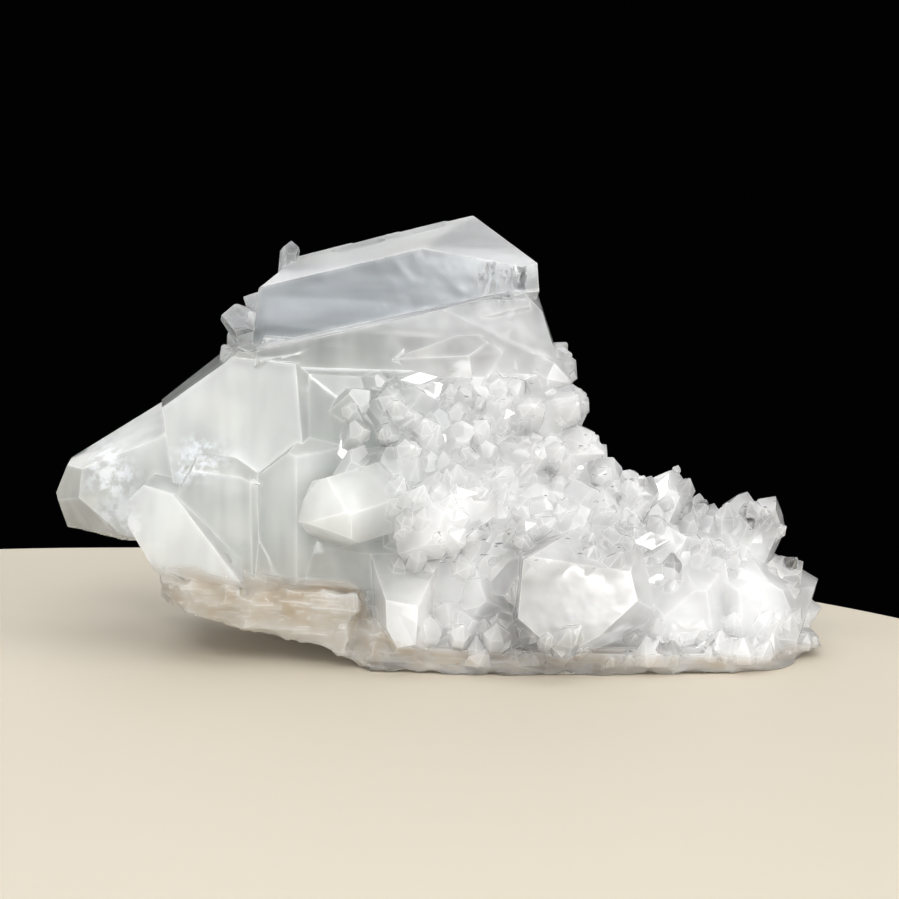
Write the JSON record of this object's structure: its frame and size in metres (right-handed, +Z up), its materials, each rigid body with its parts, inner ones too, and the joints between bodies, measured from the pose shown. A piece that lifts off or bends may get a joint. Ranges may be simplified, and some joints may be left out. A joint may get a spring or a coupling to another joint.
{
  "type": "quartz cluster",
  "caption": "Natural quartz cluster: large prisms lying across a broken milky foot, overgrown with small clear points, resting on a flat cut.",
  "frame": {"origin": "on the resting face, under the middle of the bounding box", "axes": "+X along the length, from the overhanging large prism to the low end of small points; -Y is the front, with the largest faces; +Z up"},
  "size_m": [0.1218, 0.0598, 0.0669],
  "materials": {
    "quartz": "gloss"
  },
  "bodies": {
    "root": {"quartz_cluster": "quartz"}
  },
  "joints": []
}
